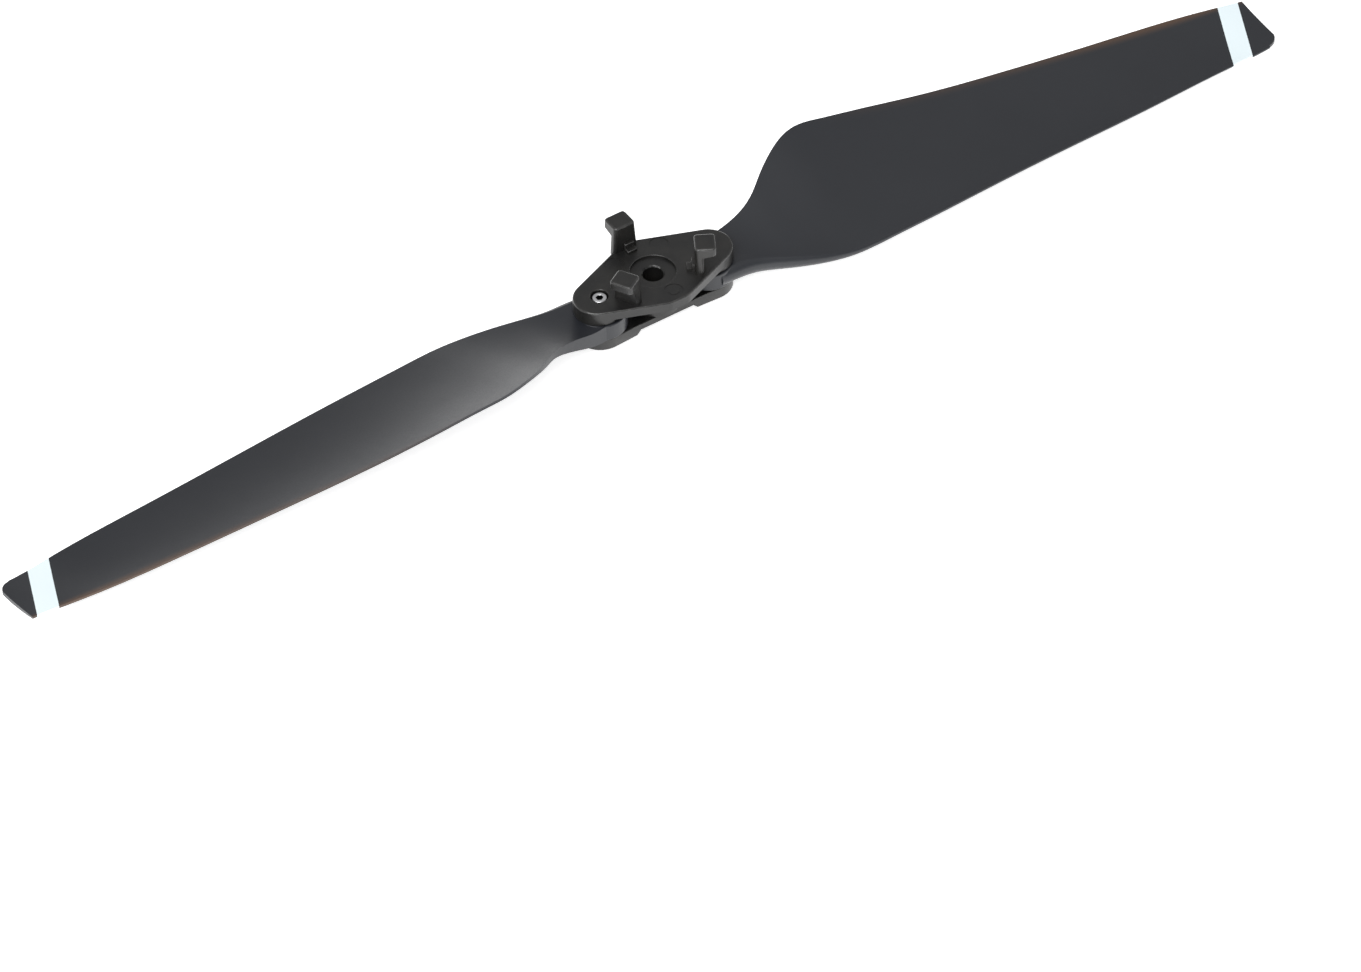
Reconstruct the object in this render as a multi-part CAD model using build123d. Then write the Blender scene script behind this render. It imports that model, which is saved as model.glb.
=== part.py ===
from build123d import *
from math import pi, sin
import os

# A folding two-blade drone propeller with a three-claw quick-release hub, lying on its cover.
# Origin: on the bore axis, in the claw plate's seating face. +Z points out of the claws, towards the
# motor, and +X runs through both pivots. Each blade is the other one turned half a turn about Z.

tip_radius = 105.4  # 8.3 in across both tips
pivot_offset = 9.0  # bore axis to each pivot axis
overcut = 1.0  # how far a cutting shape runs past what it cuts

# Levels through the hub, from the claws down to the cover
plate_bottom = -1.5
rim_round = 0.3
mouth_round = 0.1  # on the mouths of the recess and the counterbores
skirt_bottom = -2.25
bush_top = -2.1
washer_thickness = 0.2
axial_play = 0.05
cover_top = -5.2
bush_bottom = -5.3
web_bottom = -6.35
cover_bottom = -7.35

# Claw plate
lobe_radius = 3.6
lobe_offset = 9.25
vertex_radius = 2.5
vertex_reach = 6.95  # from the bore axis to the flat at each vertex
vertex_flat = 1.0  # half the length of that flat
skirt_inset = 0.4  # how far inside the pivot axis the skirt of a lobe ends
skirt_lap = 0.3  # how far the skirt runs up into the plate
hub_boss_radius = 2.6
recess_radius = 3.3
recess_depth = 0.45
bore_radius = 1.5
bore_chamfer = 0.2
barrel_radius = 3.9
spigot_depth = 0.25
spigot_clearance = 0.05
mark_depth = 0.07
mark_radius = 1.4
mark_places = [(3.8, 4.2), (-3.8, 4.2), (0.2, -5.0)]
inner_mark_radius = 0.8  # of the raised island in the last mark
inner_mark_drop = 0.02

# Claws: a drafted post with a hooked head that points away from the bore axis
claw_places = [(90, 0.65), (210, -0.6), (330, 0.6)]  # direction from +X in degrees, sideways offset
claw_inner = 5.9
claw_post = 1.3
claw_corner = 0.55
claw_reach = 8.95
claw_top = 4.5
claw_lip = 1.3
claw_slope = 0.35
claw_width_top = 3.4
claw_width_base = 4.1
claw_heel = 0.5  # how deep its foot is sunk in the plate
gusset_width = 1.5
gusset_length = 1.4
gusset_height = 1.3
gusset_step = 0.5
gusset_start = -1.15  # its first side, from the middle of the claw
gusset_lap = 0.25  # how far it runs into the claw's post

# Cover plate
web_half_width = 3.45
cover_lobe_radius = 3.7
boss_start = 4.5  # distance from the bore axis where a pivot boss begins, at the web's underside
boss_edge = 0.1  # width of the strip that the boss outline starts from
cover_chamfer = 0.4

# Pivot stack
bush_radius = 1.5
bush_bore = 0.8
running_clearance = 0.05
washer_radius = 2.5
washer_bore = 1.55
washer_pocket_clearance = 0.05
screw_radius = 0.7
screw_head_radius = 1.05
screw_head_top = -0.25
screw_head_height = 1.1
screw_head_chamfer = 0.12
screw_hole_radius = 0.8
screw_tip = -6.85
socket_width = 0.9
socket_depth = 0.6
counterbore_radius = 1.3
insert_radius = 1.35
insert_bottom = -7.0
insert_groove_depth = 0.15
insert_groove_height = 0.5

# Blade
eye_radius = 3.95
eye_top = bush_top - washer_thickness - axial_play
eye_bottom = bush_bottom + washer_thickness + axial_play
eye_round = 0.18
relief_radius = 4.2  # where the arm is cut away above and below the eye
relief_height = 5.0
tip_round = 1.9
tip_slant = 2.4  # degrees that the end leans inwards, from the leading to the trailing corner
tip_cut_height = 40.0
chord_steps = 7
nose_bulge = 0.42

# Blade stations. x is the distance from the bore axis. The leading edge (y, z) is the middle of the
# nose wall and the trailing edge (y, z) is the middle of the tail wall. Belly is the extra thickness
# on the underside, and camber is how far the whole section sags between its edges.
#    x      lead y  lead z  tail y  tail z  nose   tail   belly  camber
blade_stations = [
    (9.0, -3.1, -3.7, 3.7, -3.72, 2.72, 2.72, 0.0, 0.0),
    (11.0, -3.15, -3.7, 3.75, -3.72, 2.72, 2.72, 0.0, 0.0),
    (13.0, -3.28, -3.72, 3.9, -3.55, 2.7, 2.4, 0.0, 0.0),
    (15.5, -3.68, -4.0, 4.2, -2.76, 2.6, 1.9, 0.05, 0.05),
    (18.0, -4.49, -4.37, 4.8, -1.86, 2.5, 1.3, 0.1, 0.1),
    (20.5, -5.45, -4.7, 5.9, -0.86, 2.3, 0.9, 0.2, 0.2),
    (23.0, -6.38, -4.97, 7.7, 0.13, 2.0, 0.65, 0.35, 0.35),
    (26.0, -7.32, -5.23, 9.6, 1.27, 1.6, 0.5, 0.55, 0.5),
    (29.0, -7.98, -5.36, 11.0, 2.06, 1.2, 0.45, 0.75, 0.6),
    (32.0, -8.22, -5.36, 11.7, 2.2, 0.95, 0.42, 0.9, 0.7),
    (36.0, -8.15, -5.38, 11.5, 1.68, 0.8, 0.4, 0.95, 0.75),
    (42.0, -7.94, -5.46, 11.0, 0.65, 0.7, 0.4, 0.95, 0.7),
    (51.0, -7.5, -5.55, 10.1, -0.88, 0.62, 0.4, 0.9, 0.62),
    (66.0, -6.7, -5.93, 8.63, -2.63, 0.55, 0.38, 0.75, 0.5),
    (81.0, -6.02, -6.43, 7.31, -4.01, 0.48, 0.36, 0.6, 0.4),
    (96.0, -5.17, -6.86, 5.81, -5.16, 0.42, 0.34, 0.45, 0.28),
    (tip_radius, -4.57, -7.0, 4.35, -5.92, 0.38, 0.32, 0.3, 0.2),
]


def disc(radius, bottom, top, x=0.0, y=0.0):
    # A round block between two levels.
    height = top - bottom
    return Pos(x, y, bottom + height / 2) * Cylinder(radius, height)


def slab(outline, bottom, top):
    return extrude(Pos(0, 0, bottom) * outline, top - bottom)


def half_turn(shape):
    return Rot(0, 0, 180) * shape


def blade_section(x, lead_y, lead_z, tail_y, tail_z, nose, tail, belly, camber):
    # One closed section across the blade, with a corner at each end of the nose and tail walls.
    lead = Vector(lead_y, lead_z)
    chord = Vector(tail_y, tail_z) - lead
    normal = Vector(-chord.Y, chord.X).normalized()

    def point(t, height):
        return lead + chord * t + normal * height

    def half(t):
        return (nose + (tail - nose) * t) / 2

    def sag(t):
        return camber * 4 * t * (1 - t)

    steps = [i / chord_steps for i in range(chord_steps + 1)]
    upper = [point(t, half(t) - sag(t)) for t in steps]
    lower = [point(t, -half(t) - sag(t) - belly * sin(pi * t**0.7)) for t in steps]
    nose_tip = point(0, 0) - chord.normalized() * nose * nose_bulge
    wires = [
        Spline(*upper),
        Line(upper[-1], lower[-1]),
        Spline(*reversed(lower)),
        ThreePointArc(lower[0], nose_tip, upper[0]),
    ]
    across = Plane(origin=(x, 0, 0), x_dir=(0, 1, 0), z_dir=(1, 0, 0))
    return across * make_face(wires)


def tip_cut():
    # What is cut off to slant the tip and to round its leading corner.
    lead_y = blade_stations[-1][1]
    centre_x = tip_radius - tip_round
    centre_y = lead_y + tip_round
    side = 2 * tip_round
    block = Pos(centre_x + tip_round, centre_y - tip_round, 0) * Box(side, side, tip_cut_height)
    corner = block - Pos(centre_x, centre_y, 0) * Cylinder(tip_round, tip_cut_height)
    beyond = Box(tip_cut_height, tip_cut_height, tip_cut_height, align=(Align.MIN, Align.CENTER, Align.CENTER))
    return corner + Pos(tip_radius, lead_y, 0) * Rot(0, 0, tip_slant) * beyond


def blade():
    # The twisted blade, its arm and the round eye that turns between the plates.
    vane = loft([blade_section(*station) for station in blade_stations])
    vane -= disc(relief_radius, eye_top, eye_top + relief_height, pivot_offset)
    vane -= disc(relief_radius, eye_bottom - relief_height, eye_bottom, pivot_offset)
    vane -= tip_cut()
    eye = disc(eye_radius, eye_bottom, eye_top, pivot_offset)
    eye = fillet(eye.edges().filter_by(GeomType.CIRCLE), eye_round)
    hole = disc(bush_radius + running_clearance, eye_bottom - overcut, eye_top + overcut, pivot_offset)
    return vane + eye - hole


def claw_section(length, height):
    # A level cut through a claw, whose width shrinks towards its top.
    share = (height + claw_heel) / (claw_top + claw_heel)
    width = claw_width_base + share * (claw_width_top - claw_width_base)
    return Pos(claw_inner + length / 2, 0, height) * RectangleRounded(length, width, claw_corner)


def claw():
    # One hooked claw on +X, with its foot sunk into the plate by the heel.
    reach = claw_reach - claw_inner
    lip_bottom = claw_top - claw_lip
    post = loft([claw_section(claw_post, -claw_heel), claw_section(claw_post, claw_top)], ruled=True)
    slope = loft([claw_section(claw_post, lip_bottom - claw_slope), claw_section(reach, lip_bottom)], ruled=True)
    head = loft([claw_section(reach, lip_bottom), claw_section(reach, claw_top)], ruled=True)
    return post + slope + head


def gusset():
    # The two-step block at the inner foot of a claw.
    corner = (Align.MAX, Align.MIN, Align.MIN)
    low = Box(gusset_length, gusset_width, gusset_step + claw_heel, align=corner)
    high = Box(gusset_length / 2, gusset_width, gusset_height + claw_heel, align=corner)
    return Pos(claw_inner + gusset_lap, gusset_start, -claw_heel) * (low + high)


def plate_outline():
    places = [(side * lobe_offset, 0, lobe_radius) for side in (1, -1)]
    for side in (1, -1):
        for end in (1, -1):
            places.append((side * vertex_flat, end * (vertex_reach - vertex_radius), vertex_radius))
    circles = [Pos(x, y) * Circle(radius) for x, y, radius in places]
    return make_hull([edge for circle in circles for edge in circle.edges()])


def skirt(side):
    # The deeper wall around the outer half of a lobe, and the round pad that the bush bears on.
    wall = disc(lobe_radius, skirt_bottom, plate_bottom + skirt_lap, side * lobe_offset)
    inside = Pos(side * (pivot_offset - skirt_inset - lobe_radius), 0, skirt_bottom)
    wall -= inside * Box(2 * lobe_radius, 2 * lobe_radius + overcut, 2 * lobe_radius)
    return wall + disc(hub_boss_radius, skirt_bottom, plate_bottom, side * pivot_offset)


def round_mouths(plate):
    # The edges where the recess and the counterbores meet the plate's face.
    rims = plate.edges().filter_by(GeomType.CIRCLE).filter_by_position(Axis.Z, -overcut / 10, overcut / 10)
    return [edge for edge in rims if edge.radius in (recess_radius, counterbore_radius)]


def claw_plate():
    plate = slab(plate_outline(), plate_bottom, 0)
    plate = fillet(plate.faces().sort_by(Axis.Z)[-1].edges(), rim_round)
    plate += disc(barrel_radius, cover_top - spigot_depth, plate_bottom)
    for angle, offset in claw_places:
        plate += Rot(0, 0, angle) * Pos(0, offset, 0) * (claw() + gusset())
    plate -= disc(recess_radius, -recess_depth, overcut)
    plate -= disc(bore_radius, cover_bottom, overcut)
    mouth = Pos(0, 0, -recess_depth - bore_chamfer / 2)
    plate -= mouth * Cone(bore_radius, bore_radius + bore_chamfer, bore_chamfer)
    for x, y in mark_places:
        plate -= disc(mark_radius, -mark_depth, overcut, x, y)
    last_x, last_y = mark_places[-1]
    plate += disc(inner_mark_radius, -2 * mark_depth, -inner_mark_drop, last_x, last_y)
    for side in (1, -1):
        plate += skirt(side)
        x = side * pivot_offset
        plate -= disc(washer_radius + washer_pocket_clearance, bush_top - overcut, bush_top, x)
        plate -= disc(screw_hole_radius, bush_top - overcut, overcut, x)
        plate -= disc(counterbore_radius, screw_head_top - screw_head_height, overcut, x)
    return fillet(round_mouths(plate), mouth_round)


def cover_boss(side):
    # The deep round boss under a pivot, reached from the web by a slope.
    drop = web_bottom - cover_bottom
    inner = Pos(side * boss_start, 0) * Rectangle(boss_edge, 2 * web_half_width)
    outer = Pos(side * pivot_offset, 0) * Circle(cover_lobe_radius)
    boss = slab(make_hull(inner.edges() + outer.edges()), cover_bottom, cover_top)
    boss = chamfer(boss.faces().sort_by(Axis.Z)[0].edges(), cover_chamfer)
    ramp = Polyline(
        (side * boss_start, cover_top),
        (side * boss_start, web_bottom),
        (side * (boss_start + drop), cover_bottom),
        (side * tip_radius, cover_bottom),
        (side * tip_radius, cover_top),
        close=True,
    )
    return boss & extrude(Plane.XZ * make_face(ramp), 2 * cover_lobe_radius, both=True)


def cover_plate():
    # A flat web with a boss at each end, pockets for the washers and a seat for the barrel.
    outline = Rectangle(2 * pivot_offset, 2 * web_half_width)
    cover = slab(outline, web_bottom, cover_top)
    for side in (1, -1):
        cover += cover_boss(side)
    cover -= disc(barrel_radius + spigot_clearance, cover_top - spigot_depth, cover_top + overcut)
    for side in (1, -1):
        x = side * pivot_offset
        cover -= disc(washer_radius + washer_pocket_clearance, bush_bottom, cover_top + overcut, x)
        cover -= disc(insert_radius, insert_bottom, bush_bottom + overcut, x)
    return cover


def pivot_screw():
    # A small socket-head screw, its head sunk in the claw plate.
    seat = screw_head_top - screw_head_height
    head = disc(screw_head_radius, seat, screw_head_top)
    head = chamfer(head.edges().sort_by(Axis.Z)[-1], screw_head_chamfer)
    hexagon = RegularPolygon(socket_width / 2, 6, major_radius=False)
    socket = slab(hexagon, screw_head_top - socket_depth, screw_head_top + overcut)
    return head + disc(screw_radius, screw_tip, seat) - socket


def pivot_bush():
    # The steel spacer that both plates clamp, so that the eye can turn freely on it.
    hole = disc(bush_bore, bush_bottom - overcut, bush_top + overcut)
    return disc(bush_radius, bush_bottom, bush_top) - hole


def thrust_washer(top):
    ring = disc(washer_radius, top - washer_thickness, top)
    return ring - disc(washer_bore, top - overcut, top + overcut)


def threaded_insert():
    # The brass insert in the cover that the screw is driven into.
    insert = disc(insert_radius, insert_bottom, bush_bottom)
    middle = (insert_bottom + bush_bottom) / 2
    half_groove = insert_groove_height / 2
    groove = disc(insert_radius + overcut, middle - half_groove, middle + half_groove)
    groove -= disc(insert_radius - insert_groove_depth, middle - overcut, middle + overcut)
    return insert - groove - disc(screw_radius, insert_bottom - overcut, bush_bottom + overcut)


def build():
    parts = {"claw_plate": claw_plate(), "cover_plate": cover_plate()}
    stack = {
        "pivot_screw": pivot_screw(),
        "pivot_bush": pivot_bush(),
        "upper_washer": thrust_washer(bush_top),
        "lower_washer": thrust_washer(bush_bottom + washer_thickness),
        "threaded_insert": threaded_insert(),
    }
    for name, piece in stack.items():
        right = Pos(pivot_offset, 0, 0) * piece
        parts[name + "_right"] = right
        parts[name + "_left"] = half_turn(right)
    right_blade = blade()
    parts["blade_right"] = right_blade
    parts["blade_left"] = half_turn(right_blade)
    return parts


os.makedirs("parts", exist_ok=True)
for name, shape in build().items():
    export_step(shape, f"parts/{name}.step")
    print(name, len(shape.solids()), round(shape.volume, 2))
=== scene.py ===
from math import cos, radians, sin, tan

import bmesh
import bpy
from mathutils import Matrix, Vector


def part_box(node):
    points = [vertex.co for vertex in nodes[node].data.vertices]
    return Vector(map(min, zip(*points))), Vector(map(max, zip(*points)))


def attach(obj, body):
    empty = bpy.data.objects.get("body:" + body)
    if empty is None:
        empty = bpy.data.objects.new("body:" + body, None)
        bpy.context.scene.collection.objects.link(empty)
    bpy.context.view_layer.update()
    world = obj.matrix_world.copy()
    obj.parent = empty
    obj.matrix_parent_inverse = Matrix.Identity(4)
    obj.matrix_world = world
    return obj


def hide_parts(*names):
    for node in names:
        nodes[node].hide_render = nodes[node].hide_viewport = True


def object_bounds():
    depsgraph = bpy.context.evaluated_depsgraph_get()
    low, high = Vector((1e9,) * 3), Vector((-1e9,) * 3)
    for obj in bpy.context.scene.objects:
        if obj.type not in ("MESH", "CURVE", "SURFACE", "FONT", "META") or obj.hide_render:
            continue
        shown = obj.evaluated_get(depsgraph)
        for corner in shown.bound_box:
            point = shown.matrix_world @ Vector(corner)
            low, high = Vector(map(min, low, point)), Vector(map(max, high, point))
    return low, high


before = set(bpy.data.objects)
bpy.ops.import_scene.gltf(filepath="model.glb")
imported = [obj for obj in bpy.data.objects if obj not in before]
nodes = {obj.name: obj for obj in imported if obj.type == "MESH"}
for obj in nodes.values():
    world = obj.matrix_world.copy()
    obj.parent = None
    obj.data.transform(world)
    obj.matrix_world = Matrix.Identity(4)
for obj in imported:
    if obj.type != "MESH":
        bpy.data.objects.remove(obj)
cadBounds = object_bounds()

mm = 0.001

bpy.ops.object.select_all(action="DESELECT")


# Small helpers for materials

def linearColour(hexCode):
    channels = [int(hexCode[i:i + 2], 16) / 255 for i in (1, 3, 5)]
    linear = [c / 12.92 if c <= 0.04045 else ((c + 0.055) / 1.055) ** 2.4 for c in channels]
    return (*linear, 1.0)


def addNode(tree, kind, links=None, inputs=None, **settings):
    # A node with its settings, its plain input values and what is plugged into it.
    node = tree.nodes.new(kind)
    for name, value in settings.items():
        setattr(node, name, value)
    for socket, value in (inputs or {}).items():
        node.inputs[socket].default_value = value
    for socket, source in (links or {}).items():
        tree.links.new(source, node.inputs[socket])
    return node


def newMaterial(name):
    material = bpy.data.materials.new(name)
    material.use_nodes = True
    tree = material.node_tree
    tree.nodes.clear()
    shader = addNode(tree, "ShaderNodeBsdfPrincipled")
    addNode(tree, "ShaderNodeOutputMaterial", {"Surface": shader.outputs["BSDF"]})
    return material, tree, shader


def giveMaterial(piece, material):
    if not piece.data.materials:
        piece.data.materials.append(material)
    for slot in piece.material_slots:
        slot.material = material


print("camera, floor and light")

# The camera looks down at the claw side from the leading edge of the right blade
cameraView = {
    "elevation": 44.0,      # degrees above the floor
    "azimuth": 32.62,       # degrees round from -Y
    "roll": 1.45,
    "distance": 1572.99,    # mm, from the hub to the lens
    "lens": 296.1,          # mm
    "sensor": 36,           # mm
    "reach": 20,            # m, how far it sees
    "hubRight": -3.87,      # mm, where the hub sits in the view
    "hubUp": 30.21,
}


def addCamera(view):
    elevation, azimuth, roll = (radians(view[key]) for key in ("elevation", "azimuth", "roll"))
    ahead = Vector((cos(elevation) * sin(azimuth), cos(elevation) * cos(azimuth), -sin(elevation)))
    level = Vector((cos(azimuth), -sin(azimuth), 0))
    upright = level.cross(ahead)
    right = level * cos(roll) - upright * sin(roll)
    up = level * sin(roll) + upright * cos(roll)
    place = -(right * view["hubRight"] + up * view["hubUp"] + ahead * view["distance"]) * mm
    data = bpy.data.cameras.new("studioCamera")
    data.lens = view["lens"]
    data.sensor_width = view["sensor"]
    data.clip_end = view["reach"]
    camera = bpy.data.objects.new("studioCamera", data)
    turn = Matrix((right, up, -ahead)).transposed().to_4x4()
    camera.matrix_world = Matrix.Translation(place) @ turn
    bpy.context.scene.collection.objects.link(camera)
    bpy.context.scene.camera = camera


addCamera(cameraView)

floorSettings = {
    "size": 12.0,          # m
    "gap": 0.02 * mm,
    "colour": "#f7f7f7",
    "roughness": 0.9,
    "shine": 0.1,
    "lamp": "#ffffff",     # the paper is lit from below as well, as on a light table, so that shadows stay faint
    "glow": 0.7,
}


def addFloor(settings):
    bpy.ops.mesh.primitive_plane_add(size=settings["size"])
    floor = bpy.context.object
    floor.name = "studio_floor"
    lowest = cadBounds[0][2] - settings["gap"]
    floor.data.transform(Matrix.Translation((0, 0, lowest)))
    material, tree, shader = newMaterial("seamless_paper")
    shader.inputs["Base Color"].default_value = linearColour(settings["colour"])
    shader.inputs["Roughness"].default_value = settings["roughness"]
    shader.inputs["Specular IOR Level"].default_value = settings["shine"]
    shader.inputs["Emission Color"].default_value = linearColour(settings["lamp"])
    shader.inputs["Emission Strength"].default_value = settings["glow"]
    giveMaterial(floor, material)


addFloor(floorSettings)

lightSettings = {
    # Brightness of the surroundings by height: 0 is level with the floor and 1 is overhead
    "sky": [(0.0, 1.9), (0.1, 1.3), (0.25, 0.6), (0.45, 0.42), (0.7, 0.4), (0.88, 0.68), (1.0, 0.74)],
    # One soft box, in front and to the left
    "azimuth": -55,         # degrees round from -Y
    "elevation": 50,
    "distance": 1.6,        # m
    "size": 1.2,            # m
    "power": 24,            # W
}


def addLights(settings):
    world = bpy.data.worlds.new("studioWorld")
    world.use_nodes = True
    tree = world.node_tree
    background = tree.nodes["Background"]
    direction = addNode(tree, "ShaderNodeTexCoord").outputs["Generated"]
    height = addNode(tree, "ShaderNodeSeparateXYZ", {"Vector": direction}).outputs["Z"]
    ramp = addNode(tree, "ShaderNodeValToRGB", {"Fac": height})
    while len(ramp.color_ramp.elements) < len(settings["sky"]):
        ramp.color_ramp.elements.new(0.5)
    for element, (place, strength) in zip(ramp.color_ramp.elements, settings["sky"]):
        element.position = place
        element.color = (strength, strength, strength, 1)
    tree.links.new(ramp.outputs["Color"], background.inputs["Color"])
    bpy.context.scene.world = world
    data = bpy.data.lights.new("front_box", "AREA")
    data.size = settings["size"]
    data.energy = settings["power"]
    azimuth, elevation = radians(settings["azimuth"]), radians(settings["elevation"])
    side = Vector((sin(azimuth), -cos(azimuth), tan(elevation))).normalized()
    light = bpy.data.objects.new("front_box", data)
    light.location = side * settings["distance"]
    light.rotation_euler = side.to_track_quat("Z", "Y").to_euler()
    bpy.context.scene.collection.objects.link(light)


addLights(lightSettings)
bpy.context.scene.view_settings.view_transform = "Standard"

print("materials")

nylonIor = 1.53

hubNylonSettings = {
    "colour": "#141414",
    "chalky": "#22211f",        # where glass fibres lie near the skin
    "patch": 3.5,               # mm, size of the patches
    "grain": 0.16,              # mm, spark-eroded grain of the mould, about twice as coarse as real to show
    "grainHeight": 0.011,       # mm
    "roughness": (0.30, 0.44),
}

# Where a moulding's edge is rounded the mould is polished, so it is glossier, and it is painted paler as a painted
# highlight along the edge
paintedHighlightEdgeSettings = {
    "colour": "#262626",
    "chalky": "#3a3938",
    "patch": 0.8,
    "grain": 0.3,
    "grainHeight": 0.004,
    "roughness": (0.16, 0.27),
}


def glassFilledNylon(name, settings):
    # Injection-moulded nylon with short glass fibres: nearly black and satin, with an even grain and faint patches.
    material, tree, shader = newMaterial(name)
    place = addNode(tree, "ShaderNodeTexCoord").outputs["Object"]
    patches = addNode(
        tree, "ShaderNodeTexNoise", {"Vector": place}, {"Scale": 1 / (settings["patch"] * mm), "Detail": 4.0},
    )
    grain = addNode(
        tree, "ShaderNodeTexNoise", {"Vector": place}, {"Scale": 1 / (settings["grain"] * mm), "Detail": 2.0},
    )
    spread = addNode(tree, "ShaderNodeMapRange", {"Value": patches.outputs["Fac"]}, {"From Min": 0.4, "From Max": 0.75})
    colour = addNode(
        tree, "ShaderNodeMix", {"Factor": spread.outputs["Result"]},
        {"A": linearColour(settings["colour"]), "B": linearColour(settings["chalky"])}, data_type="RGBA",
    )
    low, high = settings["roughness"]
    gloss = addNode(
        tree, "ShaderNodeMapRange", {"Value": grain.outputs["Fac"]},
        {"From Min": 0.3, "From Max": 0.7, "To Min": low, "To Max": high},
    )
    bump = addNode(
        tree, "ShaderNodeBump", {"Height": grain.outputs["Fac"]},
        {"Strength": 1.0, "Distance": settings["grainHeight"] * mm},
    )
    tree.links.new(colour.outputs["Result"], shader.inputs["Base Color"])
    tree.links.new(gloss.outputs["Result"], shader.inputs["Roughness"])
    tree.links.new(bump.outputs["Normal"], shader.inputs["Normal"])
    shader.inputs["IOR"].default_value = nylonIor
    return material


hubNylon = glassFilledNylon("moulded_glass_filled_nylon", hubNylonSettings)
paintedHighlightEdge = glassFilledNylon("nylon_edge_painted_highlight", paintedHighlightEdgeSettings)

bladeSettings = {
    "colour": "#1b1d22",
    "shade": "#222429",
    "cloud": 14,                # mm, size of the faint clouds
    "grain": 0.22,              # mm, drawn coarser than the real 0.1 mm
    "grainHeight": 0.004,       # mm
    "roughness": (0.30, 0.40),
    "band": "#e0ecf0",
    "bandRoughness": 0.45,
    "bandFrom": 98.95,          # mm out from the hub's axis, at the middle of the chord
    "bandTo": 102.4,
    "bandSlant": 0.43,          # mm out per mm towards the trailing edge
    "thinEdge": "#4f3b2d",      # painted glow: brown, for light coming through the thinnest nylon
    "thinEdgeAt": 14.93,        # mm, where the trailing edge crosses the hub's axis if it is carried on inwards
    "thinEdgeTaper": 0.0948,    # mm inwards per mm out
    "thinEdgeWidth": 1.4,       # mm
    "thinEdgeFrom": 36.0,       # mm out, where it starts to show
    "thinEdgeFull": 100.0,      # mm out, where it is at its strongest
}


def bladeNylonMaterial(settings):
    # Plain moulded nylon, charcoal with a blue cast and satin, with a white band printed across it near the tip.
    material, tree, shader = newMaterial("moulded_charcoal_nylon")
    kind = "ShaderNodeMath"
    place = addNode(tree, "ShaderNodeTexCoord").outputs["Object"]
    axes = addNode(tree, "ShaderNodeSeparateXYZ", {"Vector": place})
    # Both blades share one pattern: along is out from the hub, across is towards the trailing edge
    outwards = addNode(tree, kind, {0: axes.outputs["X"]}, operation="ABSOLUTE")
    along = addNode(tree, kind, {0: outwards.outputs[0]}, {1: 1 / mm}, operation="MULTIPLY").outputs[0]
    side = addNode(tree, kind, {0: axes.outputs["X"]}, operation="SIGN")
    trailing = addNode(tree, kind, {0: axes.outputs["Y"], 1: side.outputs[0]}, operation="MULTIPLY")
    across = addNode(tree, kind, {0: trailing.outputs[0]}, {1: 1 / mm}, operation="MULTIPLY").outputs[0]
    clouds = addNode(
        tree, "ShaderNodeTexNoise", {"Vector": place}, {"Scale": 1 / (settings["cloud"] * mm), "Detail": 5.0},
    )
    grain = addNode(
        tree, "ShaderNodeTexNoise", {"Vector": place}, {"Scale": 1 / (settings["grain"] * mm), "Detail": 2.0},
    )
    body = addNode(
        tree, "ShaderNodeMix", {"Factor": clouds.outputs["Fac"]},
        {"A": linearColour(settings["colour"]), "B": linearColour(settings["shade"])}, data_type="RGBA",
    )
    # Thin trailing edge, tinted brown as a painted glow of light shining through it
    taper = addNode(tree, kind, {0: along}, {1: settings["thinEdgeTaper"]}, operation="MULTIPLY")
    reach = addNode(tree, kind, {0: across, 1: taper.outputs[0]}, operation="ADD")
    nearEdge = addNode(
        tree, "ShaderNodeMapRange", {"Value": reach.outputs[0]},
        {"From Min": settings["thinEdgeAt"] - settings["thinEdgeWidth"], "From Max": settings["thinEdgeAt"]},
        interpolation_type="SMOOTHSTEP",
    )
    outboard = addNode(
        tree, "ShaderNodeMapRange", {"Value": along},
        {"From Min": settings["thinEdgeFrom"], "From Max": settings["thinEdgeFull"]},
    )
    thin = addNode(
        tree, kind, {0: nearEdge.outputs["Result"], 1: outboard.outputs["Result"]}, operation="MULTIPLY",
    )
    paintedEdgeGlow = addNode(
        tree, "ShaderNodeMix", {"Factor": thin.outputs[0], "A": body.outputs["Result"]},
        {"B": linearColour(settings["thinEdge"])}, data_type="RGBA",
    )
    # Printed band
    middle = (settings["bandFrom"] + settings["bandTo"]) / 2
    half = (settings["bandTo"] - settings["bandFrom"]) / 2
    slant = addNode(tree, kind, {0: across}, {1: settings["bandSlant"]}, operation="MULTIPLY")
    slanted = addNode(tree, kind, {0: along, 1: slant.outputs[0]}, operation="SUBTRACT")
    offset = addNode(tree, kind, {0: slanted.outputs[0]}, {1: middle}, operation="SUBTRACT")
    distance = addNode(tree, kind, {0: offset.outputs[0]}, operation="ABSOLUTE")
    inBand = addNode(tree, kind, {0: distance.outputs[0]}, {1: half}, operation="LESS_THAN").outputs[0]
    colour = addNode(
        tree, "ShaderNodeMix", {"Factor": inBand, "A": paintedEdgeGlow.outputs["Result"]},
        {"B": linearColour(settings["band"])}, data_type="RGBA",
    )
    low, high = settings["roughness"]
    satin = addNode(
        tree, "ShaderNodeMapRange", {"Value": grain.outputs["Fac"]},
        {"From Min": 0.3, "From Max": 0.7, "To Min": low, "To Max": high},
    )
    gloss = addNode(
        tree, "ShaderNodeMix", {"Factor": inBand, "A": satin.outputs["Result"]},
        {"B": settings["bandRoughness"]}, data_type="FLOAT",
    )
    bump = addNode(
        tree, "ShaderNodeBump", {"Height": grain.outputs["Fac"]},
        {"Strength": 1.0, "Distance": settings["grainHeight"] * mm},
    )
    tree.links.new(colour.outputs["Result"], shader.inputs["Base Color"])
    tree.links.new(gloss.outputs["Result"], shader.inputs["Roughness"])
    tree.links.new(bump.outputs["Normal"], shader.inputs["Normal"])
    shader.inputs["IOR"].default_value = nylonIor
    return material


bladeNylon = bladeNylonMaterial(bladeSettings)


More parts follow.
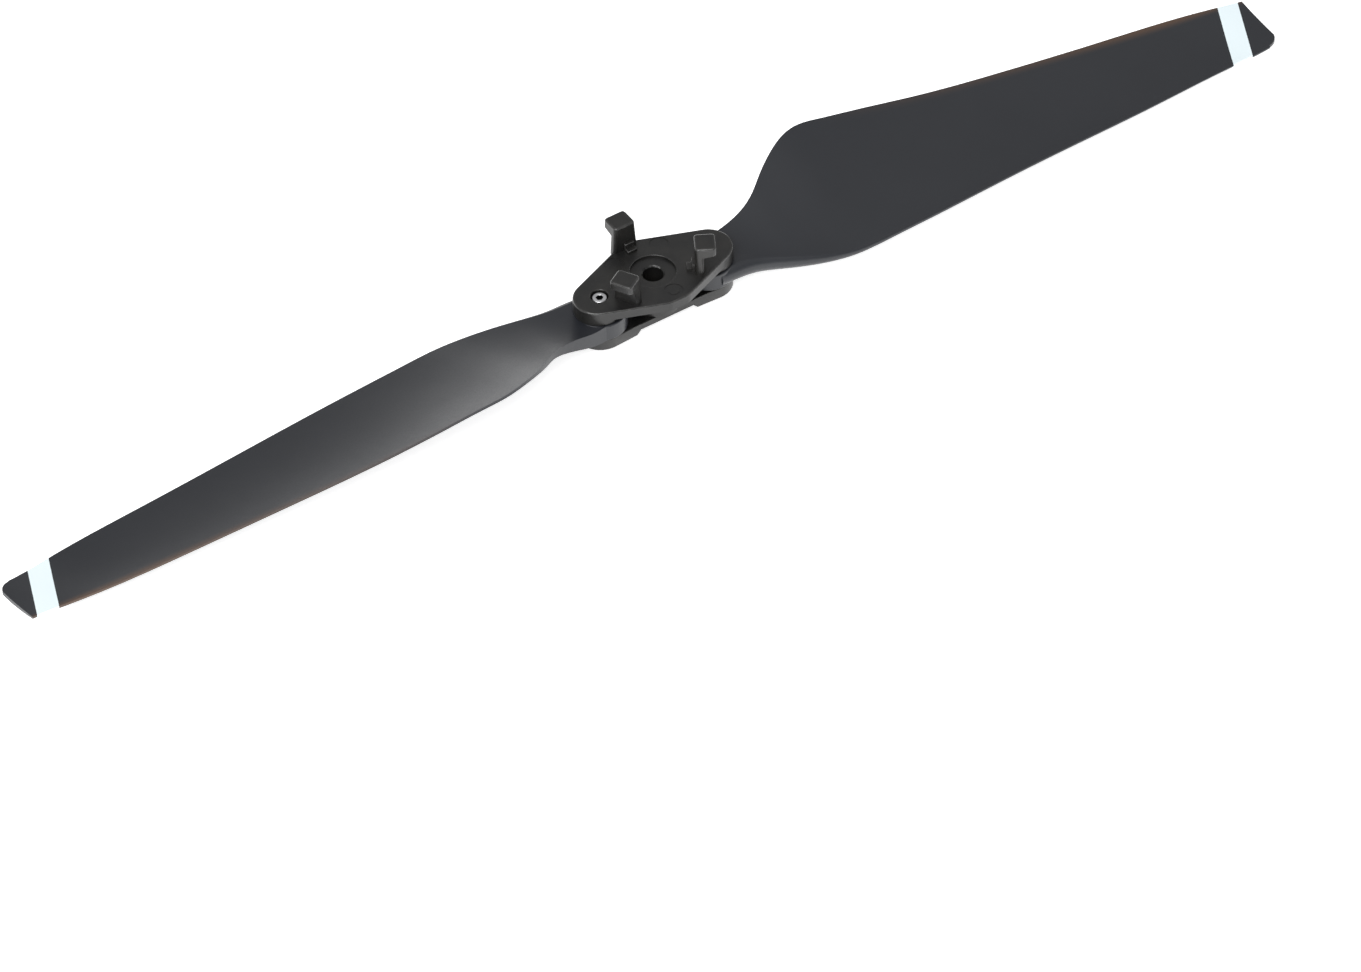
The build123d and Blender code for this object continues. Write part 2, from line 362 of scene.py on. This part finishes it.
turning = {
    "stainSize": 0.5,           # mm
    "grooveDepth": 0.004,       # mm
    "glossSpread": 0.08,
    "ringsPerScale": 0.314,     # a wave texture of scale 1 has rings this far apart
}


def turnedMetal(name, colour, stain, roughness, ring):
    # Metal turned on a lathe: bright, with fine rings, ring mm apart, round its own axis, which is a pivot.
    material, tree, shader = newMaterial(name)
    place = addNode(tree, "ShaderNodeTexCoord").outputs["Object"]
    folded = addNode(tree, "ShaderNodeVectorMath", {0: place}, operation="ABSOLUTE")
    centred = addNode(
        tree, "ShaderNodeMapping", {"Vector": folded.outputs["Vector"]}, {"Location": (-pivotOffset, 0, 0)},
    )
    rings = addNode(
        tree, "ShaderNodeTexWave", {"Vector": centred.outputs["Vector"]},
        {
            "Scale": turning["ringsPerScale"] / (ring * mm),
            "Distortion": 0.6, "Detail": 2.0, "Detail Scale": 3.0,
        },
        wave_type="RINGS", rings_direction="Z",
    )
    marks = addNode(
        tree, "ShaderNodeTexNoise", {"Vector": place}, {"Scale": 1 / (turning["stainSize"] * mm), "Detail": 4.0},
    )
    tint = addNode(
        tree, "ShaderNodeMix", {"Factor": marks.outputs["Fac"]},
        {"A": linearColour(colour), "B": linearColour(stain)}, data_type="RGBA",
    )
    gloss = addNode(
        tree, "ShaderNodeMapRange", {"Value": marks.outputs["Fac"]},
        {"To Min": roughness - turning["glossSpread"], "To Max": roughness + turning["glossSpread"]},
    )
    bump = addNode(
        tree, "ShaderNodeBump", {"Height": rings.outputs["Fac"]},
        {"Strength": 0.5, "Distance": turning["grooveDepth"] * mm},
    )
    tree.links.new(tint.outputs["Result"], shader.inputs["Base Color"])
    tree.links.new(gloss.outputs["Result"], shader.inputs["Roughness"])
    tree.links.new(bump.outputs["Normal"], shader.inputs["Normal"])
    shader.inputs["Metallic"].default_value = 1.0
    return material


acetal = {
    "colour": "#dcd8cc",
    "shade": "#cbc6b8",
    "scratch": 0.3,             # mm
    "scratchDepth": 0.004,      # mm
    "roughness": 0.35,
    "ior": 1.48,
}


def naturalAcetal(settings):
    # Stamped from acetal sheet: creamy white, waxy, faintly scratched.
    material, tree, shader = newMaterial("stamped_natural_acetal")
    place = addNode(tree, "ShaderNodeTexCoord").outputs["Object"]
    scratches = addNode(
        tree, "ShaderNodeTexNoise", {"Vector": place}, {"Scale": 1 / (settings["scratch"] * mm), "Detail": 5.0},
    )
    tint = addNode(
        tree, "ShaderNodeMix", {"Factor": scratches.outputs["Fac"]},
        {"A": linearColour(settings["colour"]), "B": linearColour(settings["shade"])}, data_type="RGBA",
    )
    bump = addNode(
        tree, "ShaderNodeBump", {"Height": scratches.outputs["Fac"]},
        {"Strength": 0.4, "Distance": settings["scratchDepth"] * mm},
    )
    tree.links.new(tint.outputs["Result"], shader.inputs["Base Color"])
    tree.links.new(bump.outputs["Normal"], shader.inputs["Normal"])
    shader.inputs["Roughness"].default_value = settings["roughness"]
    shader.inputs["IOR"].default_value = settings["ior"]
    return material


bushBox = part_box("pivot_bush_right")
pivotOffset = bushBox[0][0] / 2 + bushBox[1][0] / 2
# Colour, stain, roughness and ring spacing in mm
screwSteel = turnedMetal("turned_bright_steel", "#e6e6e8", "#cfd0d3", 0.36, 0.12)
# The socket's well gets dark steel, painted shade for the depth of the well
paintedShadeSocketSteel = turnedMetal("socket_painted_shade_steel", "#3a3a3c", "#1e1e1f", 0.4, 0.12)
bushSteel = turnedMetal("ground_steel", "#b9babd", "#a5a6aa", 0.25, 0.2)
insertBrass = turnedMetal("turned_brass", "#d8b466", "#c49c4c", 0.3, 0.15)
washerAcetal = naturalAcetal(acetal)

print("mouldings")

hub = {
    "clawTop": 4.5,            # mm above the plate's face
    "clawRounding": 0.27,
    "lipRounding": 0.08,       # the undersides of the claws' lips, and the blocks at their feet
    "rimDepth": 0.35,          # mm down from the plate's face to the lower end of its rounded rim
    "coverRounding": 0.12,
    "mergeDistance": 0.002,
    "flatAngle": 1.0,          # degrees, below which neighbouring triangles are one flat face
    "smoothAngle": 38,         # degrees
    "sharpAngle": 30,          # degrees, above which an edge on a claw's top is rounded
    "level": 0.9999,           # the least upright part of a level face's normal
    "footTop": 0.4,            # mm above the plate's face, where the edges to be rounded start
}


def selectFaces(piece, chosen):
    # Selects the faces that chosen(centre, normal) picks, with centres in mm.
    bpy.ops.mesh.select_mode(type="FACE")
    bpy.ops.mesh.select_all(action="DESELECT")
    shape = bmesh.from_edit_mesh(piece.data)
    for face in shape.faces:
        face.select = chosen(face.calc_center_median() / mm, face.normal)
    shape.select_flush_mode()
    bmesh.update_edit_mesh(piece.data)


def startPiece(name, source, *materials):
    # A merged copy of a CAD node's mesh, with its flat faces whole again, opened in edit mode.
    piece = bpy.data.objects.new(name, nodes[source].data.copy())
    piece.data.materials.clear()
    for material in materials:
        piece.data.materials.append(material)
    bpy.context.scene.collection.objects.link(piece)
    bpy.ops.object.select_all(action="DESELECT")
    piece.select_set(True)
    bpy.context.view_layer.objects.active = piece
    bpy.ops.object.mode_set(mode="EDIT")
    bpy.ops.mesh.select_mode(type="EDGE")
    bpy.ops.mesh.select_all(action="SELECT")
    bpy.ops.mesh.remove_doubles(threshold=hub["mergeDistance"] * mm)
    bpy.ops.mesh.dissolve_limited(angle_limit=radians(hub["flatAngle"]))
    bpy.ops.mesh.select_all(action="DESELECT")
    return piece


def roundEdges(piece, chosen, width, segments):
    # Rounds the edges that chosen(edge) picks, and gives the rounding the piece's second material, the paler edge nylon
    # that paints a highlight on it.
    shape = bmesh.from_edit_mesh(piece.data)
    for edge in shape.edges:
        edge.select = len(edge.link_faces) == 2 and chosen(edge)
    bmesh.update_edit_mesh(piece.data)
    bpy.ops.mesh.bevel(
        offset=width * mm, segments=segments, affect="EDGES", clamp_overlap=False, miter_outer="ARC", material=1,
    )
    bpy.ops.mesh.select_all(action="DESELECT")


def finishPiece(piece, body, slotName, *replaced):
    # Smooth but for its sharp edges and its level faces, attached to its body, with the CAD nodes it stands in for
    # hidden.
    bpy.ops.object.mode_set(mode="OBJECT")
    bpy.ops.object.shade_smooth_by_angle(angle=radians(hub["smoothAngle"]))
    bpy.ops.object.mode_set(mode="EDIT")
    selectFaces(piece, lambda centre, normal: abs(normal.z) > hub["level"])
    bpy.ops.mesh.faces_shade_flat()
    bpy.ops.object.mode_set(mode="OBJECT")
    weighted = piece.modifiers.new("flats stay flat", "WEIGHTED_NORMAL")
    weighted.keep_sharp = True
    bpy.ops.object.modifier_apply(modifier=weighted.name)
    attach(piece, body)
    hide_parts(*replaced)


def heights(edge):
    return [v.co.z / mm for v in edge.verts]


def onClawTop(edge):
    return min(heights(edge)) > hub["clawTop"] - 0.01 and edge.calc_face_angle() > radians(hub["sharpAngle"])


def betweenLevelAndWall(edge):
    # True for a convex edge where a level face meets an upright one.
    tilts = sorted(abs(face.normal.z) for face in edge.link_faces)
    return tilts[0] < 0.3 and tilts[1] > 0.9 and edge.is_convex


def onLip(edge):
    return betweenLevelAndWall(edge) and min(heights(edge)) > hub["footTop"]


def onRim(centre, normal):
    return -hub["rimDepth"] < centre.z < 0 and 0.1 < normal.z < 0.97


def addClawPlate():
    piece = startPiece("claw_plate_moulding", "claw_plate", hubNylon, paintedHighlightEdge)
    roundEdges(piece, onClawTop, hub["clawRounding"], 4)
    roundEdges(piece, onLip, hub["lipRounding"], 2)
    # The rounded rim and the mouths of the holes get the same painted highlight as the claws' edges
    selectFaces(piece, onRim)
    piece.active_material_index = 1
    bpy.ops.object.material_slot_assign()
    finishPiece(piece, "hub", "hub_nylon", "claw_plate")


def addCover():
    piece = startPiece("cover_moulding", "cover_plate", hubNylon, paintedHighlightEdge)
    roundEdges(piece, betweenLevelAndWall, hub["coverRounding"], 3)
    finishPiece(piece, "hub", "hub_nylon", "cover_plate")


addClawPlate()
addCover()

print("screws")

screw = {
    "headRadius": 1.05,         # mm, as all that follows
    "headTop": -0.25,
    "headHeight": 1.1,
    "topRounding": 0.14,
    "socketWidth": 0.95,        # across the flats
    "socketDepth": 0.75,
    "socketLip": 0.07,          # the bevel that leads a key in
    "shankRadius": 0.7,
    "shankTip": -6.85,
    "threadPitch": 0.3,
    "threadDepth": 0.08,
    "threadFrom": -4.6,         # the thread's upper end
    "smoothAngle": 35,          # degrees
}
near = 0.01                     # mm, how close counts as there


def selectEdges(piece, chosen):
    # Selects the edges that chosen(end, otherEnd) picks, in mm.
    bpy.ops.mesh.select_mode(type="EDGE")
    bpy.ops.mesh.select_all(action="DESELECT")
    shape = bmesh.from_edit_mesh(piece.data)
    for edge in shape.edges:
        edge.select = chosen(edge.verts[0].co / mm, edge.verts[1].co / mm)
    bmesh.update_edit_mesh(piece.data)


def addScrew(name, x, replaced):
    top, seat = screw["headTop"], screw["headTop"] - screw["headHeight"]
    bpy.ops.object.select_all(action="DESELECT")
    bpy.ops.mesh.primitive_cylinder_add(
        vertices=48, radius=screw["headRadius"] * mm, depth=screw["headHeight"] * mm,
        location=(0, 0, (top + seat) / 2 * mm), end_fill_type="NGON",
    )
    piece = bpy.context.object
    piece.name = name
    bpy.ops.object.transform_apply(location=True, rotation=True, scale=True)
    bpy.ops.object.mode_set(mode="EDIT")
    # Shank: inset the seat, then draw it down ring by ring, with every second ring drawn in for the thread
    selectFaces(piece, lambda centre, normal: normal.z < -0.9)
    bpy.ops.mesh.inset(thickness=(screw["headRadius"] - screw["shankRadius"]) * mm)
    plain = (0, 0, (screw["threadFrom"] - seat) * mm)
    bpy.ops.mesh.extrude_region_move(TRANSFORM_OT_translate={"value": plain})
    turns = int((screw["threadFrom"] - screw["shankTip"]) / screw["threadPitch"])
    narrow = 1 - screw["threadDepth"] / screw["shankRadius"]
    step = (0, 0, -screw["threadPitch"] / 2 * mm)
    for _ in range(turns):
        for scale in (narrow, 1 / narrow):
            bpy.ops.mesh.extrude_region_move(TRANSFORM_OT_translate={"value": step})
            bpy.ops.transform.resize(value=(scale, scale, 1), center_override=(0, 0, 0))
    # Rounded head
    selectEdges(piece, lambda a, b: min(a.z, b.z) > top - near)
    bpy.ops.mesh.bevel(offset=screw["topRounding"] * mm, segments=5, affect="EDGES")
    bpy.ops.object.mode_set(mode="OBJECT")
    piece.data.materials.append(screwSteel)
    piece.data.materials.append(paintedShadeSocketSteel)
    cutSocket(piece, top)
    piece.data.transform(Matrix.Translation((x, 0, 0)))
    bpy.ops.object.shade_smooth_by_angle(angle=radians(screw["smoothAngle"]))
    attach(piece, "hub")
    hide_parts(replaced)


def cutSocket(piece, top):
    # A hexagonal well with a small lead-in bevel, cut out of the head.
    corner = screw["socketWidth"] / 2 / cos(radians(30))
    bpy.ops.object.select_all(action="DESELECT")
    bpy.ops.mesh.primitive_cylinder_add(
        vertices=6, radius=corner * mm, depth=2 * screw["socketDepth"] * mm, location=(0, 0, top * mm),
    )
    cutter = bpy.context.object
    bpy.ops.object.transform_apply(location=True, rotation=True, scale=True)
    bpy.ops.object.select_all(action="DESELECT")
    bpy.context.view_layer.objects.active = piece
    piece.select_set(True)
    cut = piece.modifiers.new("socket", "BOOLEAN")
    cut.operation = "DIFFERENCE"
    cut.object = cutter
    bpy.ops.object.modifier_apply(modifier="socket")
    bpy.data.objects.remove(cutter)
    bpy.ops.object.mode_set(mode="EDIT")
    reach = corner + near
    selectEdges(piece, lambda a, b: all(abs(p.z - top) < near and p.to_2d().length < reach for p in (a, b)))
    bpy.ops.mesh.bevel(offset=screw["socketLip"] * mm, segments=2, affect="EDGES")
    # Painted shade: the well below its lip gets the dark steel
    deepest = top - screw["headHeight"] + 0.1
    highest = top - screw["socketLip"] - near
    selectFaces(piece, lambda centre, normal: centre.to_2d().length < reach and deepest < centre.z < highest)
    piece.active_material_index = 1
    bpy.ops.object.material_slot_assign()
    bpy.ops.object.mode_set(mode="OBJECT")


addScrew("socket_screw_right", pivotOffset, "pivot_screw_right")
addScrew("socket_screw_left", -pivotOffset, "pivot_screw_left")

finishes = {"blade": bladeNylon, "bush": bushSteel, "washer": washerAcetal, "insert": insertBrass}
for name, node in nodes.items():
    for word, material in finishes.items():
        if word in name:
            giveMaterial(node, material)
